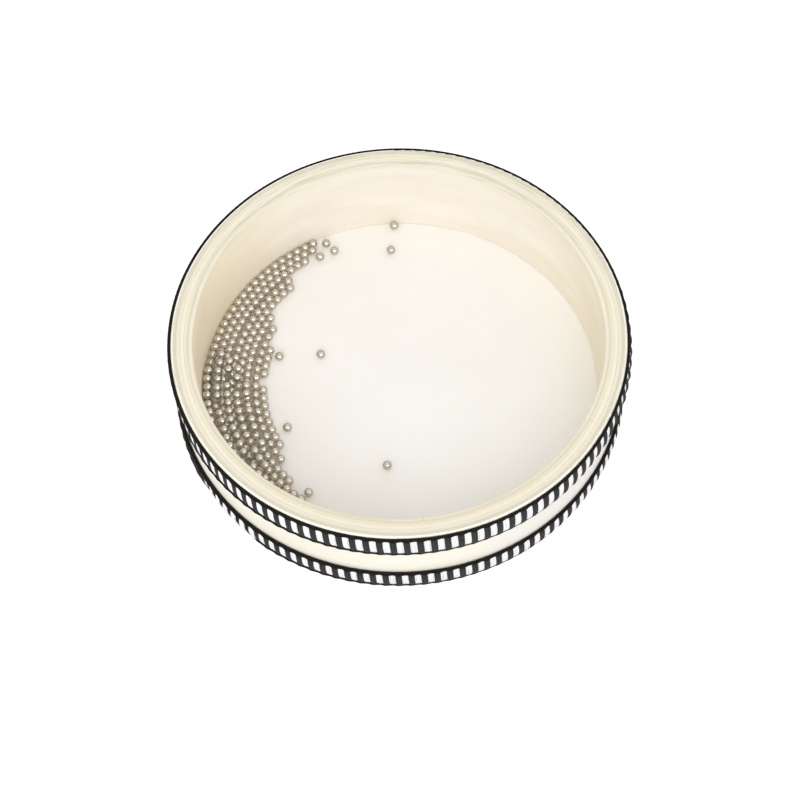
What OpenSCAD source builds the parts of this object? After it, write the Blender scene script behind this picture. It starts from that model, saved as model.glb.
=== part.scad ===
// Ocean drum: a shallow laminated hoop with a clear film head above, a white film head below,
// a woven trim round each edge and loose steel beads that roll on the white head.
// Millimetres. The drum rests on the white head at z = 0 and +Z points at the clear head.
// The Z axis is the axis of the hoop, and -Y is the side that faces the viewer.

/* [Hoop] */
// Outer diameter of the wooden hoop
hoop_d = 203.2; // [160:0.1:300]
// Height of the wooden hoop
hoop_h = 46.5; // [38:0.5:80]
// Thickness of one of the five bent plies
ply_t = 1.83; // [1.2:0.01:3]
// Thickness of the glue line between two plies
glue_line = 0.06; // [0.05:0.01:0.2]
// Width of the butt seam where the ends of a ply meet
ply_seam = 0.1; // [0.1:0.05:1]
// Radius of the outer arrises of the hoop
outer_arris = 0.6; // [0.4:0.1:1.5]
// Radius of the inner arris at the top of the hoop
top_inner_arris = 1.6; // [0.4:0.1:2.5]
// Radius of the inner arris at the bottom of the hoop, where the wall meets the white head
bottom_inner_arris = 0.3; // [0.2:0.1:1.5]

/* [Heads] */
// Thickness of the film of both heads
film_t = 0.25; // [0.15:0.01:0.5]
// Glue between the film and the wood, and under the trims
film_glue = 0.05; // [0.03:0.01:0.1]
// Height of the film skirt that is folded over the side of the hoop
skirt_h = 11; // [6:0.5:14]

/* [Trims] */
// Width of the upper trim, measured along the drum's axis
upper_trim_w = 14.2; // [9:0.1:16]
// Width of the lower trim, measured along the drum's axis
lower_trim_w = 12.4; // [9:0.1:16]
// Distance from the top of the drum to the upper trim
upper_trim_edge = 0.2; // [0.1:0.1:1.5]
// Distance from the bottom of the drum to the lower trim
lower_trim_edge = 1.3; // [0.3:0.1:3]
// Thickness of a trim at its top cord and white blocks
trim_t = 1.35; // [1:0.05:2]
// Thickness of the backing tape of a trim
tape_t = 0.35; // [0.2:0.05:0.5]
// Diameter of the cord that runs along the top edge of a trim
top_cord_d = 1.8; // [1.2:0.1:2.4]
// Diameter of the finer cord that runs along the bottom edge of a trim
bottom_cord_d = 1.2; // [0.8:0.1:1.6]
// Number of white blocks round the upper trim
upper_blocks = 111; // [60:1:140]
// Number of white blocks round the lower trim
lower_blocks = 114; // [60:1:140]
// How far the middle of a white block swells out past its ends
block_swell = 0.3; // [0.1:0.05:0.5]
// How far the middle of a white block swells out past its flanks
block_crown = 0.3; // [0.1:0.05:0.5]
// How far the black bars stand out past the white blocks
bar_proud = 0.6; // [0.1:0.05:0.8]
// How far the middle of a black bar swells out past its flanks
bar_crown = 0.8; // [0.2:0.05:0.9]
// Lean of the blocks and bars from upright, in degrees
block_lean = 3; // [0:1:12]
// Gap between a block and what lies beside it
block_gap = 0.06; // [0.04:0.01:0.12]
// Width of the seam where the ends of a trim's tape meet
tape_seam = 0.3; // [0.1:0.1:1]

/* [Beads] */
// Diameter of a steel bead
bead_d = 4; // [3:0.1:5]
// Least gap between two beads of one row
bead_gap = 0.12; // [0.08:0.01:0.2]
// Gap between a bead and the white head
bead_rest = 0.1; // [0.05:0.01:0.2]
// Gap between the outermost row of beads and the hoop
bead_wall_gap = 0.25; // [0.1:0.05:0.6]

/* [Hidden] */
NODES = [
    "outer_ply", "core_ply_1", "core_ply_2", "core_ply_3", "inner_ply",
    "clear_head", "white_head",
    "upper_trim_tape", "upper_trim_white_blocks", "upper_trim_black_bars",
    "lower_trim_tape", "lower_trim_white_blocks", "lower_trim_black_bars",
    "bead_row_1", "bead_row_2", "bead_row_3", "bead_row_4",
    "bead_row_5", "bead_row_6", "bead_row_7", "bead_row_8",
    "top_bead_row_1", "top_bead_row_2", "top_bead_row_3", "top_bead_row_4", "top_bead_row_5",
    "loose_bead_1", "loose_bead_2", "loose_bead_3", "loose_bead_4", "loose_bead_5",
    "loose_bead_6", "loose_bead_7", "loose_bead_8", "loose_bead_9", "loose_bead_10"
];
$fn = 180;
bead_facets = 40;

// Hoop
plies = 5;
hoop_r = hoop_d / 2;
ply_pitch = ply_t + glue_line;
wall_t = plies * ply_pitch - glue_line;
hoop_in_r = hoop_r - wall_t;
hoop_z = film_t + film_glue;
drum_h = hoop_h + 2 * hoop_z;
// The seams of the plies are staggered round the hoop.
seam_angles = [90, 30, 205, 330, 275];
ply_colors = ["#f6efda", "#efe6cb", "#f4edd6", "#e9dfc0", "#f3e9d0"];

// Heads
skirt_in_r = hoop_r + film_glue;
skirt_r = skirt_in_r + film_t;
fold_in_r = outer_arris + film_glue;
fold_r = fold_in_r + film_t;

// Trims
tape_r = skirt_r + film_glue;
block_in_r = tape_r + tape_t + film_glue;
white_crown_r = tape_r + trim_t;
bar_crown_r = white_crown_r + bar_proud;
// Part of the pitch of the blocks that a white block takes
white_share = 0.51;
lower_trim_z = lower_trim_edge;
upper_trim_z = drum_h - upper_trim_edge - upper_trim_w;
// How far round each trim's first white block lies, as a share of the pitch of the blocks
upper_start_share = 0.92;
lower_start_share = 0.47;
tape_seam_angle = 90;

// Beads: three nested rows make a band, and a band starts a full bead further in than the last.
bead_r = bead_d / 2;
bead_z = film_t + bead_rest + bead_r;
wall_row_r = hoop_in_r - bead_wall_gap - bead_r;
band_rows = 3;
nest_share = 0.885;
nest_pitch = bead_d * nest_share;
band_pitch = bead_d + bead_gap;
// A bead lies this part of the gap away from its regular place, at most.
wander_share = 0.4;
// Where each row starts and ends, and the part of its beads that is there
row_start_angles = [116.5, 117.5, 122, 128.5, 131, 146, 150, 160];
row_end_angles = [236, 236, 236, 235, 234, 227, 218, 212];
row_fill_shares = [1, 1, 1, 1, 1, 1, 0.97, 0.92];
// The second layer: its rows and its beads lie this many bead diameters apart, so that no two can meet.
top_spread_share = 1.13;
// How far one of its beads lies from its regular place at most, in bead diameters
top_wander_share = 0.045;
// How far its first row lies inside the wall row, in bead diameters
top_inset_share = 0.1;
top_start_angles = [172, 169, 171, 174, 181];
top_end_angles = [221, 223, 219, 216, 207];
top_fill_shares = [0.9, 0.9, 0.88, 0.84, 0.75];
// Distance from the hoop, in bead diameters, and angle of each bead that lies by itself
loose_depth_shares = [0.64, 4.24, 1.28, 2.67, 2.7, 8.34, 12.88, 8.81, 12.1, 5.45];
loose_angles = [90.5, 92, 113, 111.7, 117.2, 163.8, 155.4, 202.7, 260.8, 232.6];

function row_depth(k) = k * nest_pitch + floor(k / band_rows) * (band_pitch - nest_pitch);
function row_r(k) = wall_row_r - row_depth(k);
function band_start(k) = floor(k / band_rows) * band_rows;
// The innermost row of a band has the least gap, and the other rows keep its angular step.
function row_step(k) = band_pitch / row_r(band_start(k) + band_rows - 1) * 180 / PI;
function row_phase(k) = (k - band_start(k)) % 2 * row_step(k) / 2;
function row_count(first, last, step) = floor((last - first) / step) + 1;
// The first place of a row's grid at or after an angle
function row_first(k, angle) = ceil((angle - row_phase(k)) / row_step(k)) * row_step(k) + row_phase(k);
// The angles of the beads of a row, each a little off its regular place and some missing
function row_angles(k) =
    let (first = row_first(k, row_start_angles[k]))
    let (count = row_count(first, row_end_angles[k], row_step(k)))
    let (wander = rands(-1, 1, count, 2 * k))
    let (lottery = rands(0, 1, count, 2 * k + 1))
    let (wander_turn = wander_share * bead_gap / row_r(k) * 180 / PI)
    [for (i = [0 : count - 1])
        if (lottery[i] < row_fill_shares[k]) first + i * row_step(k) + wander[i] * wander_turn];

// Distance in plan between two places given by radius and angle
function plan_distance(r_a, a, r_b, b) = sqrt(pow(r_a, 2) + pow(r_b, 2) - 2 * r_a * r_b * cos(a - b));
// Height at which a bead rests on another one that lies this far away in plan
function rise_over(distance) = sqrt(max(0, pow(bead_d + bead_gap, 2) - pow(distance, 2)));
// Height at which a bead in this place rests on the rows of the first layer
function rest_rise(r, a) = max([
    for (k = [0 : len(row_fill_shares) - 1])
        if (abs(row_r(k) - r) < bead_d + bead_gap)
            for (b = row_angles(k)) rise_over(plan_distance(r, a, row_r(k), b))
]);

// A square corner less the quarter round that stays, for rounding an arris
module arris_cut(a) {
    difference() {
        square(a);
        translate([a, a]) circle(r = a);
    }
}

module wall_profile() {
    difference() {
        square([wall_t, hoop_h]);
        arris_cut(bottom_inner_arris);
        translate([wall_t, 0]) mirror([1, 0]) arris_cut(outer_arris);
        translate([0, hoop_h]) mirror([0, 1]) {
            arris_cut(top_inner_arris);
            translate([wall_t, 0]) mirror([1, 0]) arris_cut(outer_arris);
        }
    }
}

// One bent ply, counted from the outside of the hoop
module ply(index) {
    ply_in_r = hoop_r - index * ply_pitch - ply_t;
    seam_turn = ply_seam / ply_in_r * 180 / PI;
    color(ply_colors[index])
    translate([0, 0, hoop_z])
    rotate([0, 0, seam_angles[index] + seam_turn / 2])
    rotate_extrude(angle = 360 - seam_turn)
    intersection() {
        translate([hoop_in_r, 0]) wall_profile();
        translate([ply_in_r, 0]) square([ply_t, hoop_h]);
    }
}

// Half section of a disc whose lower rim is rounded
module rounded_half(r, h, fold) {
    translate([0, fold]) square([r, h - fold]);
    square([r - fold, fold]);
    translate([r - fold, fold]) intersection() {
        circle(r = fold);
        translate([0, -fold]) square(fold);
    }
}

// A film head: a flat sheet that folds up into a skirt
module head() {
    rotate_extrude()
    difference() {
        rounded_half(skirt_r, skirt_h, fold_r);
        translate([0, film_t]) rounded_half(skirt_in_r, skirt_h, fold_in_r);
    }
}

module white_head() {
    color("#f8f6f0") head();
}

module clear_head() {
    color("#e8f0f0", 0.25) translate([0, 0, drum_h]) mirror([0, 0, 1]) head();
}

// The backing tape of a trim of width w, with the cord along each of its edges
module trim_tape(w) {
    seam_turn = tape_seam / tape_r * 180 / PI;
    color("#1c1c20")
    rotate([0, 0, tape_seam_angle + seam_turn / 2])
    rotate_extrude(angle = 360 - seam_turn) {
        translate([tape_r, bottom_cord_d / 2]) square([tape_t, w - (bottom_cord_d + top_cord_d) / 2]);
        translate([tape_r + bottom_cord_d / 2, bottom_cord_d / 2]) circle(d = bottom_cord_d);
        intersection() {
            translate([tape_r, 0]) square([top_cord_d, w]);
            translate([white_crown_r - top_cord_d / 2, w - top_cord_d / 2]) circle(d = top_cord_d);
        }
    }
}

// Radius of an arc that spans w and rises by rise in its middle
function arc_r(w, rise) = (pow(w / 2, 2) + pow(rise, 2)) / (2 * rise);

// A leaning block of yarn between the cords of a trim of width trim_w. It is w wide, its crown lies
// at top_r, and its face is part of a barrel that falls by crown at its flanks and by swell at its ends.
module block(trim_w, w, top_r, crown, swell) {
    depth = top_r - block_in_r;
    field = trim_w - top_cord_d - bottom_cord_d - 2 * block_gap;
    // Height at which the corners of the leaning block stay clear of the cords
    h = (field - w * sin(block_lean)) / cos(block_lean);
    across_r = arc_r(w, crown);
    along_r = arc_r(h, swell);
    translate([top_r, 0, bottom_cord_d + block_gap + field / 2])
    rotate([block_lean, 0, 0])
    intersection() {
        translate([-depth, -w / 2, -h / 2]) cube([depth, w, h]);
        translate([-across_r, 0, 0])
        rotate_extrude()
        intersection() {
            translate([0, -h / 2]) square([across_r, h]);
            translate([across_r - along_r, 0]) circle(r = along_r);
        }
    }
}

// Pitch of the blocks of a trim, measured at their backs
function block_pitch(blocks) = 2 * PI * block_in_r / blocks;

module white_blocks(trim_w, blocks, start_share) {
    w = block_pitch(blocks) * white_share - block_gap;
    color("#f6f6f8")
    for (i = [0 : blocks - 1])
        rotate([0, 0, (i + start_share) * 360 / blocks])
        block(trim_w, w, white_crown_r, block_crown, block_swell);
}

module black_bars(trim_w, blocks, start_share) {
    w = block_pitch(blocks) * (1 - white_share) - block_gap;
    color("#222226")
    for (i = [0 : blocks - 1])
        rotate([0, 0, (i + start_share + 0.5) * 360 / blocks])
        block(trim_w, w, bar_crown_r, bar_crown, block_swell + bar_proud);
}

module bead() {
    color("#8f877c") sphere(d = bead_d, $fn = bead_facets);
}

// One row of the bead heap on the white head, counted from the hoop
module bead_row(k) {
    for (a = row_angles(k))
        rotate([0, 0, a])
        translate([row_r(k), 0, bead_z])
        bead();
}

// One row of the beads that lie on the first layer, counted from the hoop
module top_bead_row(index) {
    regular_r = wall_row_r - bead_d * (top_inset_share + index * top_spread_share);
    step = bead_d * top_spread_share / regular_r * 180 / PI;
    count = row_count(top_start_angles[index], top_end_angles[index], step);
    along = rands(-top_wander_share, top_wander_share, count, len(NODES) + index);
    inward = rands(-top_wander_share, top_wander_share, count, 2 * len(NODES) + index);
    lottery = rands(0, 1, count, 3 * len(NODES) + index);
    for (i = [0 : count - 1])
        if (lottery[i] < top_fill_shares[index]) {
            a = top_start_angles[index] + step * (i + along[i] / top_spread_share);
            r = regular_r - bead_d * inward[i];
            rotate([0, 0, a])
            translate([r, 0, bead_z + rest_rise(r, a)])
            bead();
        }
}

// A bead that has rolled away from the heap
module loose_bead(index) {
    rotate([0, 0, loose_angles[index]])
    translate([hoop_in_r - loose_depth_shares[index] * bead_d, 0, bead_z])
    bead();
}

ply(0);  // outer_ply
ply(1);  // core_ply_1
ply(2);  // core_ply_2
ply(3);  // core_ply_3
ply(4);  // inner_ply
clear_head();
white_head();
translate([0, 0, upper_trim_z]) trim_tape(upper_trim_w);  // upper_trim_tape
translate([0, 0, upper_trim_z]) white_blocks(upper_trim_w, upper_blocks, upper_start_share);  // upper_trim_white_blocks
translate([0, 0, upper_trim_z]) black_bars(upper_trim_w, upper_blocks, upper_start_share);  // upper_trim_black_bars
translate([0, 0, lower_trim_z]) trim_tape(lower_trim_w);  // lower_trim_tape
translate([0, 0, lower_trim_z]) white_blocks(lower_trim_w, lower_blocks, lower_start_share);  // lower_trim_white_blocks
translate([0, 0, lower_trim_z]) black_bars(lower_trim_w, lower_blocks, lower_start_share);  // lower_trim_black_bars
bead_row(0);  // bead_row_1
bead_row(1);  // bead_row_2
bead_row(2);  // bead_row_3
bead_row(3);  // bead_row_4
bead_row(4);  // bead_row_5
bead_row(5);  // bead_row_6
bead_row(6);  // bead_row_7
bead_row(7);  // bead_row_8
top_bead_row(0);  // top_bead_row_1
top_bead_row(1);  // top_bead_row_2
top_bead_row(2);  // top_bead_row_3
top_bead_row(3);  // top_bead_row_4
top_bead_row(4);  // top_bead_row_5
loose_bead(0);  // loose_bead_1
loose_bead(1);  // loose_bead_2
loose_bead(2);  // loose_bead_3
loose_bead(3);  // loose_bead_4
loose_bead(4);  // loose_bead_5
loose_bead(5);  // loose_bead_6
loose_bead(6);  // loose_bead_7
loose_bead(7);  // loose_bead_8
loose_bead(8);  // loose_bead_9
loose_bead(9);  // loose_bead_10
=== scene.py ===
"""The looks of an ocean drum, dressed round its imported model: wood, films, woven trims and steel beads."""
import math
import random

import bpy
import numpy as np
from mathutils import Matrix, Vector

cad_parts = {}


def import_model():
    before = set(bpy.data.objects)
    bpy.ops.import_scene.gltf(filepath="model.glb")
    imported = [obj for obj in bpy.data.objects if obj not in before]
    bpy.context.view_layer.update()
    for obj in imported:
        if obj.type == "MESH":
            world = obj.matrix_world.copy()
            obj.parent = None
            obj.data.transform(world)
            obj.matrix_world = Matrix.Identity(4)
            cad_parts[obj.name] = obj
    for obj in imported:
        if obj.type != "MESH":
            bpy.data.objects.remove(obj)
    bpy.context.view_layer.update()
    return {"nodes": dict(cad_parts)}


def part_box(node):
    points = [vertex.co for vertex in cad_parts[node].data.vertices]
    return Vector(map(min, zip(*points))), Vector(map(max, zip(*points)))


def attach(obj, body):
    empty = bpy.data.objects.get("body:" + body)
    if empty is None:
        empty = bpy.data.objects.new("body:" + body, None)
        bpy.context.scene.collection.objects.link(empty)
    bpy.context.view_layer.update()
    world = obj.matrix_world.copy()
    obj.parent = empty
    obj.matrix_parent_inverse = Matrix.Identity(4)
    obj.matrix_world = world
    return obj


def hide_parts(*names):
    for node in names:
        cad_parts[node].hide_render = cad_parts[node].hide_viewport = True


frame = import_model()

MM = 0.001
PLIES = ["outer_ply", "core_ply_1", "core_ply_2", "core_ply_3", "inner_ply"]
BODY = "drum"
seeded = random.Random(11)


# Colours and shader nodes

def linear(red, green, blue):
    """A colour given as 0 to 255 display values, in the linear values that a shader takes."""
    def one(value):
        share = value / 255
        return share / 12.92 if share <= 0.04045 else ((share + 0.055) / 1.055) ** 2.4
    return (one(red), one(green), one(blue), 1)


BLACK, WHITE = (0, 0, 0, 1), (1, 1, 1, 1)


class NodeTree:
    """A tree of shader nodes that are added by short calls."""

    def __init__(self, tree):
        self.tree = tree

    def find(self, kind):
        return next(n for n in self.tree.nodes if n.type == kind)

    def node(self, kind, **settings):
        made = self.tree.nodes.new(kind)
        for key, value in settings.items():
            setattr(made, key, value)
        return made

    def feed(self, socket, value):
        if isinstance(value, bpy.types.NodeSocket):
            self.tree.links.new(value, socket)
        else:
            socket.default_value = value

    def math(self, operation, first, second=0.0, clamp=False):
        made = self.node("ShaderNodeMath", operation=operation, use_clamp=clamp)
        self.feed(made.inputs[0], first)
        self.feed(made.inputs[1], second)
        return made.outputs[0]

    def seen(self):
        """1 for rays straight from the camera, off a glossy surface or through film, and 0 for the rest."""
        ray = self.node("ShaderNodeLightPath")
        straight = self.math("MAXIMUM", ray.outputs["Is Camera Ray"], ray.outputs["Is Glossy Ray"])
        return self.math("MAXIMUM", straight, ray.outputs["Is Transmission Ray"])


class Shader(NodeTree):
    """A material with its nodes."""

    def __init__(self, name):
        self.material = bpy.data.materials.new(name)
        self.material.use_nodes = True
        super().__init__(self.material.node_tree)
        self.surface = self.find("BSDF_PRINCIPLED")

    def place(self):
        """The place on the part, in metres in its own frame."""
        return self.node("ShaderNodeTexCoord").outputs["Object"]

    def place_mm(self):
        """The place on the part by x, y and z, and its distance from the axis, in millimetres."""
        split = self.node("ShaderNodeSeparateXYZ")
        self.feed(split.inputs[0], self.place())
        x, y, z = (self.math("DIVIDE", part, MM) for part in split.outputs)
        radius = self.math("SQRT", self.math("ADD", self.math("POWER", x, 2.0), self.math("POWER", y, 2.0)))
        return x, y, z, radius

    def noise(self, vector, scale, detail=3.0, roughness=0.5):
        made = self.node("ShaderNodeTexNoise")
        self.feed(made.inputs["Vector"], vector)
        self.feed(made.inputs["Scale"], scale)
        self.feed(made.inputs["Detail"], detail)
        self.feed(made.inputs["Roughness"], roughness)
        return made.outputs["Fac"]

    def bent_noise(self, scales, detail=3.0, roughness=0.5):
        """Noise with a scale of its own round the hoop, across its wall and along its height, per millimetre.
        It has four dimensions, x and y among them, so that it has no seam anywhere round the hoop."""
        x, y, z, radius = self.place_mm()
        around, across, along = scales
        joined = self.node("ShaderNodeCombineXYZ")
        for socket, part, scale in zip(joined.inputs, (x, y, radius), (around, around, across)):
            self.feed(socket, self.math("MULTIPLY", part, scale))
        made = self.node("ShaderNodeTexNoise", noise_dimensions="4D")
        self.feed(made.inputs["Vector"], joined.outputs[0])
        self.feed(made.inputs["W"], self.math("MULTIPLY", z, along))
        self.feed(made.inputs["Scale"], 1.0)
        self.feed(made.inputs["Detail"], detail)
        self.feed(made.inputs["Roughness"], roughness)
        return made.outputs["Fac"]

    def openness(self, distance):
        """1 where nothing else is within a distance of the surface, down to 0 in a narrow space."""
        made = self.node("ShaderNodeAmbientOcclusion", samples=8)
        self.feed(made.inputs["Distance"], distance)
        return made.outputs["AO"]

    def ramp(self, value, stops):
        """Colour by a value, through stops that each have a place from 0 to 1 and a colour."""
        made = self.node("ShaderNodeValToRGB")
        self.feed(made.inputs[0], value)
        elements = made.color_ramp.elements
        while len(elements) < len(stops):
            elements.new(0.5)
        for element, (place, color) in zip(elements, stops):
            element.position, element.color = place, color
        return made.outputs[0]

    def mix(self, share, first, second, blend="MIX"):
        made = self.node("ShaderNodeMix", data_type="RGBA", blend_type=blend)
        self.feed(made.inputs["Factor"], share)
        self.feed(made.inputs["A"], first)
        self.feed(made.inputs["B"], second)
        return made.outputs["Result"]

    def bump(self, height, strength, distance):
        made = self.node("ShaderNodeBump")
        self.feed(made.inputs["Height"], height)
        self.feed(made.inputs["Strength"], strength)
        self.feed(made.inputs["Distance"], distance)
        self.feed(self.surface.inputs["Normal"], made.outputs[0])

    def set(self, **values):
        for key, value in values.items():
            self.feed(self.surface.inputs[key.replace("_", " ")], value)


# Wood

# Colours across the rim of the hoop: radius in millimetres, then the display values. Among them, the bright
# rings at the inner edge (92.2 to 92.9 mm) and at the outer edge (101.5 mm) are painted highlights where the
# rounded edges catch the light.
RIM_RINGS = [
    (92.2, (244, 236, 218)), (92.9, (250, 243, 224)), (93.5, (238, 229, 205)), (94.4, (227, 218, 190)),
    (95.2, (235, 227, 202)), (96.2, (246, 239, 218)), (97.3, (244, 236, 215)), (98.2, (242, 234, 213)),
    (99.2, (233, 225, 203)), (100.2, (223, 216, 195)), (100.8, (235, 229, 210)), (101.5, (251, 247, 233)),
]
# In millimetres: how far below the top the rim's colours start, and the radius inside which painted shade
# darkens its inner edge at the back.
RIM_DEPTH, EDGE_SHADE_R = 1.8, 94.1


def side_share(shader, axis, start, end):
    """Goes from 0 to 1 as x or y, in millimetres, goes from start to end. Axis is 0 for x and 1 for y."""
    reached = shader.math("SUBTRACT", shader.place_mm()[axis], start)
    return shader.math("DIVIDE", reached, end - start, clamp=True)


def rim_color(shader, fine, grain):
    """Colour of the rim by the distance from the axis, with painted highlights and painted shade that change
    round it. Fine is the noise of the grain, grain its colour.
    """
    radius = shader.place_mm()[3]
    # The rings wander a little along the rim, as the layers of a real one do.
    wander_mm = 1.6
    wander = shader.math("SUBTRACT", shader.bent_noise((0.035, 0.0, 0.0)), 0.5)
    ring_r = shader.math("ADD", radius, shader.math("MULTIPLY", wander, wander_mm))
    low_r, high_r = RIM_RINGS[0][0], RIM_RINGS[-1][0]
    width = high_r - low_r
    across = shader.math("DIVIDE", shader.math("SUBTRACT", ring_r, low_r), width, clamp=True)
    color = shader.ramp(across, [((r - low_r) / width, linear(*rgb)) for r, rgb in RIM_RINGS])
    grain_share = shader.math("MULTIPLY", shader.ramp(fine, [(0.35, WHITE), (0.6, BLACK)]), 0.2)
    color = shader.mix(grain_share, color, grain)
    # Painted shade and painted highlights at the back: crisp dark and pale lines across the rim, for the
    # light that the film pulls into lines there.
    painted_light_lines = shader.bent_noise((0.06, 2.2, 0.0), detail=1.0)
    back = side_share(shader, 1, 10, 60)
    for stops, strength, tone in (([(0.36, WHITE), (0.44, BLACK)], 0.5, linear(204, 196, 172)),
                                  ([(0.56, BLACK), (0.64, WHITE)], 0.6, linear(252, 248, 234))):
        painted_line = shader.math("MULTIPLY", shader.ramp(painted_light_lines, stops), shader.math("MULTIPLY", back, strength))
        color = shader.mix(painted_line, color, tone)
    # Painted shade: the inner edge is darker at the back, and the whole rim is a little darker at the front.
    painted_edge_shade = shader.math("MULTIPLY", shader.math("SUBTRACT", EDGE_SHADE_R, radius, clamp=True), back)
    color = shader.mix(painted_edge_shade, color, (0.9, 0.9, 0.89, 1), "MULTIPLY")
    return shader.mix(side_share(shader, 1, -30, -95), color, (0.945, 0.94, 0.93, 1), "MULTIPLY")


def wood(name, pale, grain, seed, streaks, sides=()):
    """Bent ply with grain that runs round the hoop and soft blotches. The rim has rings of its own colours,
    with painted highlights and painted shade among them.
    Seed changes the grain a little from ply to ply. Streaks is how strongly the grain shows, from 0 to 1.
    The side tones are painted light and painted shade from how the lamps fall. Each is the x in millimetres
    where it starts, the x where it is full, and the colour by which it multiplies the wood below the rim."""
    shader = Shader(name)
    fine = shader.bent_noise((0.03, 1.7 + seed * 0.1, 1.3 + seed * 0.1), detail=4.0, roughness=0.6)
    broad = shader.bent_noise((0.02, 0.1, 0.07 + seed * 0.004), detail=2.0)
    pores = shader.bent_noise((0.35, 3.5, 5.0), detail=2.0)
    blotches = shader.math("MULTIPLY", broad, 1.0 - streaks)
    shade = shader.math("ADD", shader.math("MULTIPLY", fine, streaks), blotches)
    color = shader.ramp(shade, [(0.34, grain), (0.62, pale)])
    pore_share = shader.math("MULTIPLY", shader.ramp(pores, [(0.68, BLACK), (0.78, WHITE)]), 0.2 * streaks)
    color = shader.mix(pore_share, color, linear(206, 188, 152))
    # Painted light and painted shade by the side of the drum, from how the lamps fall on it.
    for start, end, tone in sides:
        color = shader.mix(side_share(shader, 0, start, end), color, tone, "MULTIPLY")
    rim_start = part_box("outer_ply")[1].z / MM - RIM_DEPTH
    on_rim = shader.math("SUBTRACT", shader.place_mm()[2], rim_start, clamp=True)
    color = shader.mix(on_rim, color, rim_color(shader, fine, grain))
    shader.set(Base_Color=color, Roughness=0.55)
    relief = shader.math("ADD", fine, shader.math("MULTIPLY", pores, 0.4))
    shader.bump(relief, strength=0.25 * streaks, distance=0.06 * MM)
    return shader.material


def dress_wood():
    """Wood on each ply. The inner one is smoother, with painted shade that makes it warmer and darker on its
    left and right than at the back, and painted light on its back left; the other plies have a cooler painted
    light on their right.
    """
    # Painted light and painted shade on the inner wall, and a cool painted light on the outer plies' right.
    back_left_painted_light, left = (1.04, 1.04, 1.04, 1), (0.975, 0.93, 0.8, 1)
    right, far_right_painted_shade = (0.97, 0.95, 0.86, 1), (0.965, 0.97, 0.94, 1)
    outer_right_painted_light = (0.99, 1, 1.08, 1)
    inner_painted_light_and_shade = [(-15, -50, back_left_painted_light), (-50, -85, left), (60, 92, right), (82, 92, far_right_painted_shade)]
    for seed, node in enumerate(PLIES):
        if node == "inner_ply":
            material = wood(node + "_wood", pale=linear(250, 244, 233), grain=linear(243, 234, 219),
                            seed=seed, streaks=0.25, sides=inner_painted_light_and_shade)
        else:
            material = wood(node + "_wood", pale=linear(246, 242, 230), grain=linear(240, 233, 215),
                            seed=seed, streaks=0.7, sides=[(20, 70, outer_right_painted_light)])
        put_on(node, material)


def put_on(node, material):
    """Gives a CAD node a new material instead of its own."""
    shown = frame["nodes"][node]
    shown.data.materials.clear()
    shown.data.materials.append(material)


# Films

def white_film():
    """White film with painted shade that turns it brown in the narrow spaces under and between the beads."""
    shader = Shader("white_film")
    cloud = shader.noise(shader.place(), scale=14.0)
    color = shader.ramp(cloud, [(0.3, linear(245, 243, 239)), (0.7, linear(249, 248, 245))])
    # Painted shade: brown where the ambient occlusion finds beads close by.
    share = shader.ramp(shader.openness(3 * MM), [(0.15, WHITE), (0.6, BLACK)])
    color = shader.mix(share, color, linear(232, 217, 196))
    shader.set(Base_Color=color, Roughness=0.42, Coat_Weight=0.1)
    grit = shader.noise(shader.place(), scale=2600.0, detail=2.0)
    shader.bump(grit, strength=0.12, distance=0.03 * MM)
    return shader.material


def clear_film():
    """Clear film: all but unseen where it is flat, with a painted highlight that turns it white where it
    bends round the edge.
    """
    shader = Shader("clear_film")
    fold_start_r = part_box("clear_head")[1].x / MM - 1.5
    past_start = shader.math("SUBTRACT", shader.place_mm()[3], fold_start_r)
    # Painted highlight: the film turns opaque and white over the fold at its edge.
    fold = shader.ramp(past_start, [(0.3, BLACK), (0.6, WHITE)])
    crease = shader.bent_noise((0.08, 0.6, 0.6))
    fold_highlight = shader.math("MULTIPLY", fold, shader.math("ADD", 0.5, crease))
    alpha = shader.math("ADD", 0.02, fold_highlight, clamp=True)
    shader.set(Base_Color=linear(255, 251, 237), Roughness=0.12, Alpha=alpha)
    shader.bump(crease, strength=0.05, distance=0.2 * MM)
    return shader.material


# Steel

def steel():
    """Polished steel with a painted reflection that darkens it towards the edge of each bead. Between beads
    that lie close together it has painted bounce light: it is paler, duller and less metal there, for the
    light that goes to and fro between them."""
    shader = Shader("bead_steel")
    stain = shader.noise(shader.place(), scale=900.0)
    body = shader.ramp(stain, [(0.3, linear(194, 188, 177)), (0.7, linear(211, 206, 196))])
    # Painted reflection: the colour turns darker towards the edge of each bead.
    facing = shader.node("ShaderNodeLayerWeight").outputs["Facing"]
    edge = shader.ramp(facing, [(0.3, BLACK), (0.7, WHITE)])
    color = shader.mix(edge, body, linear(188, 183, 174))
    # Painted bounce light: paler, duller and less metal where other beads lie close.
    painted_bounce = shader.ramp(shader.openness(2.5 * MM), [(0.28, WHITE), (0.68, BLACK)])
    color = shader.mix(painted_bounce, color, linear(243, 232, 216))
    rough = shader.math("ADD", 0.14, shader.math("MULTIPLY", stain, 0.1))
    rough = shader.math("ADD", rough, shader.math("MULTIPLY", painted_bounce, 0.3))
    metal = shader.math("SUBTRACT", 1.0, shader.math("MULTIPLY", painted_bounce, 0.85))
    shader.set(Base_Color=color, Metallic=metal, Roughness=rough, Specular_Tint=(0.3, 0.27, 0.24, 1))
    return shader.material


def dress_beads():
    material = steel()
    for node, shown in frame["nodes"].items():
        if "bead" in node:
            put_on(node, material)
            shown.data.shade_smooth()


# Yarn and trims

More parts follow.
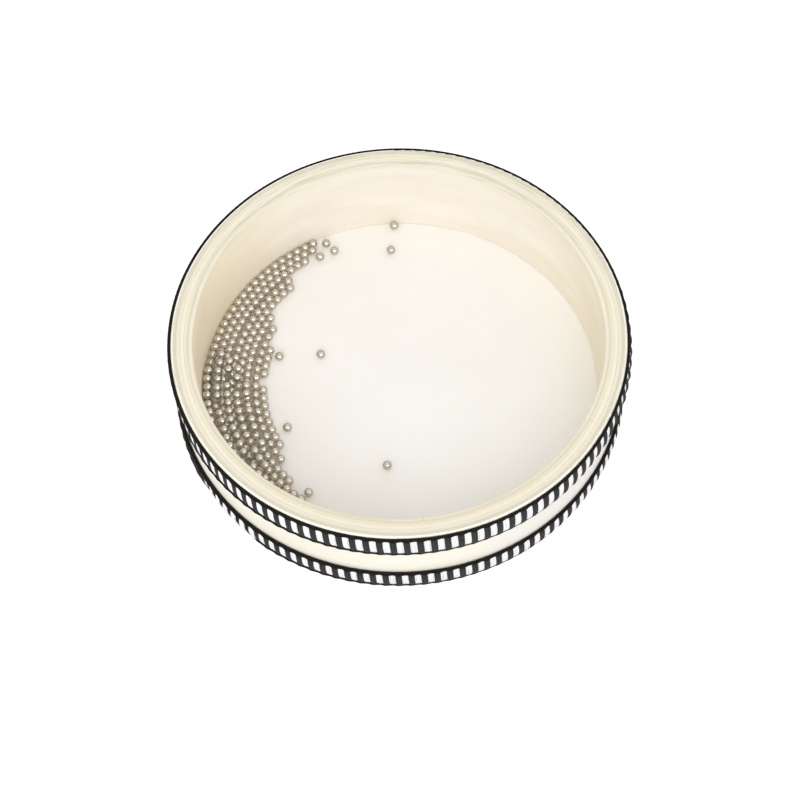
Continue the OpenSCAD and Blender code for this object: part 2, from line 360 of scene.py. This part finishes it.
def yarn(name, dark, light, sheen):
    """Thread: fine fibres along the height, in object space so that they keep still when the drum moves."""
    shader = Shader(name)
    fibre = shader.bent_noise((7.0, 0.0, 1.2), roughness=0.6)
    color = shader.ramp(fibre, [(0.3, dark), (0.7, light)])
    shader.set(Base_Color=color, Roughness=0.85, Sheen_Weight=sheen, Specular_IOR_Level=0.12)
    shader.bump(fibre, strength=0.5, distance=0.08 * MM)
    return shader.material


def sweep(path, reach, sides):
    """Rings of points round a path of (way, out, up) points, in a block's own flat frame.
    reach holds the half width along the way and the half depth square to it, for each point."""
    path, reach = np.array(path, float), np.array(reach, float)
    along = np.gradient(path, axis=0)
    along /= np.linalg.norm(along, axis=1)[:, None]
    side = np.cross(along, (0.0, 1.0, 0.0))
    side /= np.linalg.norm(side, axis=1)[:, None]
    out = np.cross(side, along)
    turn = np.linspace(0, 2 * math.pi, sides, endpoint=False)
    ring = side[:, None] * np.cos(turn)[None, :, None] * reach[:, 0][:, None, None]
    ring = ring + out[:, None] * np.sin(turn)[None, :, None] * reach[:, 1][:, None, None]
    return (path[:, None] + ring).reshape(-1, 3)


def tube_faces(rings, sides, closed=False):
    """Faces between rings of points. The tube has two flat ends, or joins up with itself when closed."""
    faces = []
    for ring in range(rings if closed else rings - 1):
        here, there = ring * sides, (ring + 1) % rings * sides
        for side in range(sides):
            after = (side + 1) % sides
            faces.append((here + side, here + after, there + after, there + side))
    if not closed:
        faces.append(tuple(range(sides - 1, -1, -1)))
        faces.append(tuple(range((rings - 1) * sides, rings * sides)))
    return faces


class Weave:
    """Points and faces that gather into one mesh."""

    def __init__(self):
        self.points, self.faces, self.count = [], [], 0

    def add(self, points, faces):
        self.points.append(points)
        self.faces.extend(tuple(self.count + corner for corner in face) for face in faces)
        self.count += len(points)

    def piece(self, name, material):
        mesh = bpy.data.meshes.new(name)
        mesh.from_pydata(np.concatenate(self.points).tolist(), [], self.faces)
        mesh.materials.append(material)
        mesh.shade_smooth()
        made = bpy.data.objects.new(name, mesh)
        bpy.context.scene.collection.objects.link(made)
        return made


def bent_round(points, angle, base_r):
    """Points of a flat block, (way, out, up) in millimetres, laid round the drum at an angle, in metres."""
    turn = angle + points[:, 0] / base_r
    radius = base_r + points[:, 1]
    return np.stack([radius * np.cos(turn), radius * np.sin(turn), points[:, 2]], axis=1) * MM


LEAN = math.tan(math.radians(3))
# In millimetres: the gap under each tape, and how far the middle of a thread strays to either side.
GLUE_GAP, SWAY = 0.05, 0.08
# Of each trim: the number of blocks, and how far the first lies past the +X axis, as a share of their pitch.
TRIM_BLOCKS = {"upper": (111, 0.92), "lower": (114, 0.47)}
# Widths of a white block and a black bar as shares of the blocks' pitch.
BLOCK_SHARE, BAR_SHARE = 0.52, 0.5


class Trim:
    """Sizes of one trim in millimetres, read from its CAD nodes, and how it changes by the angle round the
    drum: 0 is the right, 180 degrees the left and 270 the front."""

    def __init__(self, side):
        low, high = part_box(side + "_trim_tape")
        self.side = side
        self.blocks, start_share = TRIM_BLOCKS[side]
        self.turn = 2 * math.pi / self.blocks
        self.start = start_share * self.turn
        self.low, self.high = low.z / MM, high.z / MM
        self.tape_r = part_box("clear_head")[1].x / MM + GLUE_GAP
        self.white_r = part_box(side + "_trim_white_blocks")[1].x / MM
        self.bar_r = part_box(side + "_trim_black_bars")[1].x / MM - 0.02
        self.pitch = self.turn * self.tape_r
        self.middle = (self.low + self.high) / 2

    def top_reach(self, angle):
        """Half width of the top cord, which is stoutest at the front and the left."""
        return 0.62 - 0.16 * math.sin(angle) - 0.08 * math.cos(angle)

    def stretch(self, angle, middle, half, fade):
        """1 near the middle angle of a stretch of the lower trim and 0 outside it, all in degrees."""
        if self.side == "upper":
            return 0.0
        return min(1.0, max(0.0, (half - abs(math.degrees(angle) % 360 - middle)) / fade))

    def cover(self, angle):
        """How far the bars close over the white blocks, from 0 to 1: on the left of the lower trim."""
        return self.stretch(angle, middle=188, half=30, fade=9)

    def wear(self, angle):
        """How far the bars sink between the blocks, from 0 to 1: at the front left of the lower trim."""
        return self.stretch(angle, middle=219, half=13, fade=5)

    def slack(self, angle):
        """How far the bars sag outwards near their lower ends, in mm: on the right of the upper trim."""
        if self.side == "lower":
            return 0.0
        return 1.1 * max(0.0, math.cos(angle)) ** 4

    def bottom_reach(self, angle):
        """Half width of the bottom cord, which all but vanishes under the blocks on the right."""
        full = 0.2 + 0.5 * (0.5 + 0.5 * math.cos(angle - math.radians(230))) ** 2
        return full * (1 - 0.65 * self.wear(angle))

    def swelling(self, angle):
        """How far the white blocks swell out to the height of the bars, from 0 to 1: fully on the right."""
        return max(self.wear(angle), max(0.0, math.cos(angle - math.radians(340))) ** 2)

    def bulge(self, angle):
        """Part of their full height to which the bars stand out, which they do most on the front right."""
        full = min(1.0, 0.79 + 0.2 * math.cos(angle + math.radians(30)) + 0.35 * self.cover(angle))
        return full * (1 - 0.7 * self.wear(angle))


def arch(share, full, bluntness, skipped):
    """Height of a thread over the tape, full in the middle and least at both ends. The lower the bluntness,
    the steeper the ends. Skipped is the share of the arch that is cut off at each end."""
    return full * math.sin(math.pi * (skipped + (1 - 2 * skipped) * share)) ** bluntness


def white_threads(trim):
    """Blocks of fine upright threads, each laid side by side under the border cords. Where the bars close
    over a block, it is narrower and lower."""
    threads, rings, sides = 5, 11, 6
    narrowing, lowering, rounding = 0.55, 0.5, 0.9
    # Neighbours overlap a little, so that no gap shows between them.
    half_width, half_depth = 1.08, 1.15
    # In millimetres: how far the threads reach under the bottom cord and stop short of the top one, and how
    # much lower a thread would end a whole block's width from the middle.
    tuck, short, drop = 0.1, 0.3, 0.8
    faces = tube_faces(rings, sides)
    weave = Weave()
    for block in range(trim.blocks):
        angle = trim.start + block * trim.turn
        width = BLOCK_SHARE * trim.pitch * (1 - narrowing * trim.cover(angle))
        reach = width / threads / 2
        crown_r = trim.white_r + (trim.bar_r - trim.white_r) * trim.swelling(angle)
        crown = (crown_r - trim.tape_r - reach) * (1 - lowering * trim.cover(angle))
        for thread in range(threads):
            across = (thread + 0.5) / threads - 0.5
            rise = crown * (1 - rounding * across ** 2) + seeded.uniform(-0.06, 0)
            low = trim.low + 2 * trim.bottom_reach(angle) - tuck + seeded.uniform(-0.15, 0.15)
            high = trim.high - 2 * trim.top_reach(angle) - short - drop * across ** 2
            high += seeded.uniform(-0.2, 0.15)
            path, reaches = [], []
            sway = seeded.uniform(-SWAY, SWAY)
            for ring in range(rings):
                share = ring / (rings - 1)
                up = low + share * (high - low)
                way = across * width - (up - trim.middle) * LEAN + sway * math.sin(math.pi * share)
                path.append((way, arch(share, rise, bluntness=0.55, skipped=0.04), up))
                reaches.append((reach * half_width, reach * half_depth))
            weave.add(bent_round(sweep(path, reaches, sides), angle, trim.tape_r), faces)
    return weave


def black_threads(trim):
    """Bars of three stout threads that bulge past the white blocks and loop over the top cord. They spread
    where they close over the blocks, and draw together at their ends."""
    threads, rings, sides = 3, 16, 8
    spread, drawing, rounding = 0.4, 0.15, 1.6
    # Thickness of the ends as a share of the middle's, and their height over the tape in millimetres.
    end_share, lift = 0.75, 0.12
    faces = tube_faces(rings, sides)
    weave = Weave()
    for block in range(trim.blocks):
        angle = trim.start + (block + 0.5) * trim.turn
        width = BAR_SHARE * trim.pitch * (1 + spread * trim.cover(angle))
        stout = 1.1 * BAR_SHARE * trim.pitch / threads / 2
        crown = (trim.bar_r - trim.tape_r - stout) * trim.bulge(angle)
        for thread in range(threads):
            across = (thread + 0.5) / threads - 0.5
            rise = crown * (1 - rounding * across ** 2) + seeded.uniform(-0.1, 0)
            low, high = trim.low + 0.4, trim.high - 0.3
            path, reaches = [], []
            sway = seeded.uniform(-SWAY, SWAY)
            for ring in range(rings):
                share = ring / (rings - 1)
                up = low + share * (high - low)
                way = across * width * (1 - drawing * (2 * share - 1) ** 2)
                way += sway * math.sin(math.pi * share) - (up - trim.middle) * LEAN
                sag = trim.slack(angle) * math.sin(math.pi * share ** 0.5)
                out = lift + arch(share, rise - lift, bluntness=0.35, skipped=0.03) + sag
                path.append((way, out, up))
                depth = end_share + (1 - end_share) * math.sin(math.pi * share)
                reaches.append((stout, stout * depth))
            weave.add(bent_round(sweep(path, reaches, sides), angle, trim.tape_r), faces)
    return weave


def cord(weave, trim, edge, inward, reach_at):
    """A cord of two twisted strands that runs right round the drum, one twist for each block. It lies
    against the height edge, towards inward (1 up, -1 down), and reach_at gives its half width by angle.
    At the front it is pressed in beside each bar."""
    sides, rings = 8, trim.blocks * 8
    # The strands' height over the tape in millimetres, and how far they stray as a share of their half width.
    lift, stray = 0.1, 0.08
    faces = tube_faces(rings, sides, closed=True)
    for strand in range(2):
        points = []
        for ring in range(rings):
            angle = 2 * math.pi * ring / rings
            twist = trim.blocks * (angle - trim.start) + math.pi * strand
            press = 0.16 * max(0.0, -math.sin(angle))
            reach = reach_at(angle) * (1 - press * math.cos(trim.blocks * (angle - trim.start)))
            radius = trim.tape_r + lift + reach * (1 + stray * math.cos(twist))
            height = edge + inward * reach + stray * reach * math.sin(twist)
            for side in range(sides):
                turn = 2 * math.pi * side / sides
                across = radius + (1 - stray) * reach * math.cos(turn)
                points.append((across * math.cos(angle) * MM, across * math.sin(angle) * MM,
                               (height + (1 - stray) * reach * math.sin(turn)) * MM))
        weave.add(np.array(points), faces)


def backing(trim):
    """The tape under the threads, with a cord along each edge."""
    weave = Weave()
    steps = trim.blocks * 2
    # Its section: the height over the drum's side, thin at both edges, and the place along the axis.
    profile = [(0.0, trim.low + 0.3), (0.3, trim.low + 0.4), (0.35, trim.middle), (0.3, trim.high - 0.4),
               (0.0, trim.high - 0.3)]
    points = []
    for step in range(steps):
        angle = 2 * math.pi * step / steps
        for out, up in profile:
            radius = (trim.tape_r + out) * MM
            points.append((radius * math.cos(angle), radius * math.sin(angle), up * MM))
    weave.add(np.array(points), tube_faces(steps, len(profile), closed=True))
    cord(weave, trim, trim.high - 0.05, -1, trim.top_reach)
    cord(weave, trim, trim.low + 0.05, 1, trim.bottom_reach)
    return weave


def dress_trims():
    white = yarn("white_yarn", linear(246, 246, 249), linear(255, 255, 255), 0.1)
    # The bar yarn is a paler copy of the black yarn: painted highlight of the bulging bars.
    bars = yarn("black_bar_yarn", linear(30, 29, 30), linear(55, 53, 54), 0.08)
    cords = yarn("black_cord_yarn", linear(17, 15, 11), linear(35, 32, 26), 0.02)
    for trim in map(Trim, TRIM_BLOCKS):
        for part, node, weave, material in (
                ("backing_and_cords", "tape", backing(trim), cords),
                ("white_threads", "white_blocks", white_threads(trim), white),
                ("black_threads", "black_bars", black_threads(trim), bars)):
            piece = weave.piece(f"{trim.side}_{part}", material)
            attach(piece, BODY)
            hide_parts(f"{trim.side}_trim_{node}")


# Stage, camera and lights

def floor():
    """A pale floor that shows white to the camera and keeps the drum's shadow."""
    half = 4.0
    corners = [(-half, -half, 0), (half, -half, 0), (half, half, 0), (-half, half, 0)]
    mesh = bpy.data.meshes.new("floor")
    mesh.from_pydata(corners, [], [(0, 1, 2, 3)])
    made = bpy.data.objects.new("floor", mesh)
    made.location.z = -0.05 * MM
    bpy.context.scene.collection.objects.link(made)
    shader = Shader("floor")
    shader.set(Base_Color=linear(240, 240, 240), Roughness=0.9, Specular_IOR_Level=0.1)
    glow = shader.math("MULTIPLY", shader.seen(), 0.45)
    shader.set(Emission_Color=WHITE, Emission_Strength=glow)
    mesh.materials.append(shader.material)


def world(level):
    """White to the camera and in reflections, and a softer light on everything else."""
    made = bpy.data.worlds.new("studio")
    made.use_nodes = True
    bpy.context.scene.world = made
    nodes = NodeTree(made.node_tree)
    back = nodes.find("BACKGROUND")
    extra = nodes.math("MULTIPLY", nodes.seen(), 1 - level)
    nodes.feed(back.inputs["Color"], WHITE)
    nodes.feed(back.inputs["Strength"], nodes.math("ADD", extra, level))


def lamp(name, azimuth, elevation, distance, size, power, highlight_only=False):
    """A round area lamp aimed at the drum. Azimuth 0 is the front and 90 the right."""
    data = bpy.data.lights.new(name, "AREA")
    data.shape, data.size, data.energy = "DISK", size, power
    made = bpy.data.objects.new(name, data)
    a, e = math.radians(azimuth), math.radians(elevation)
    back = Vector((math.sin(a) * math.cos(e), -math.cos(a) * math.cos(e), math.sin(e)))
    made.location = back * distance
    made.rotation_euler = back.to_track_quat("Z", "Y").to_euler()
    made.visible_diffuse = not highlight_only
    bpy.context.scene.collection.objects.link(made)


def camera():
    """The photograph's camera: its distance, height and small turns were fitted to the rim and the head."""
    focal_px, frame_px, sensor_mm = 1897.98, 800, 36
    distance, elevation = 0.887506, math.radians(59.587)
    roll, pan, tilt = (math.radians(v) for v in (-1.651, -0.019, -0.436))
    place = Vector((0, -distance * math.cos(elevation), distance * math.sin(elevation)))
    ahead = -place.normalized()
    right = Vector((1, 0, 0))
    up = right.cross(ahead)
    aim = (ahead * math.cos(pan) + right * math.sin(pan)) * math.cos(tilt) + up * math.sin(tilt)
    level = aim.cross(up).normalized()
    upright = level.cross(aim)
    x_axis = level * math.cos(roll) + upright * math.sin(roll)
    y_axis = upright * math.cos(roll) - level * math.sin(roll)
    data = bpy.data.cameras.new("camera")
    data.sensor_width = sensor_mm
    data.lens = focal_px * sensor_mm / frame_px
    made = bpy.data.objects.new("camera", data)
    turn = Matrix((x_axis, y_axis, -aim)).transposed().to_4x4()
    made.matrix_world = Matrix.Translation(place) @ turn
    bpy.context.scene.collection.objects.link(made)
    bpy.context.scene.camera = made


camera()
world(level=0.8)
floor()
lamp("key", azimuth=-6, elevation=45, distance=1.3, size=0.9, power=6.2)
lamp("glint", azimuth=45, elevation=34, distance=0.9, size=0.36, power=2.0, highlight_only=True)
dress_wood()
put_on("white_head", white_film())
put_on("clear_head", clear_film())
dress_beads()
dress_trims()

bpy.context.scene.view_settings.view_transform = "Standard"
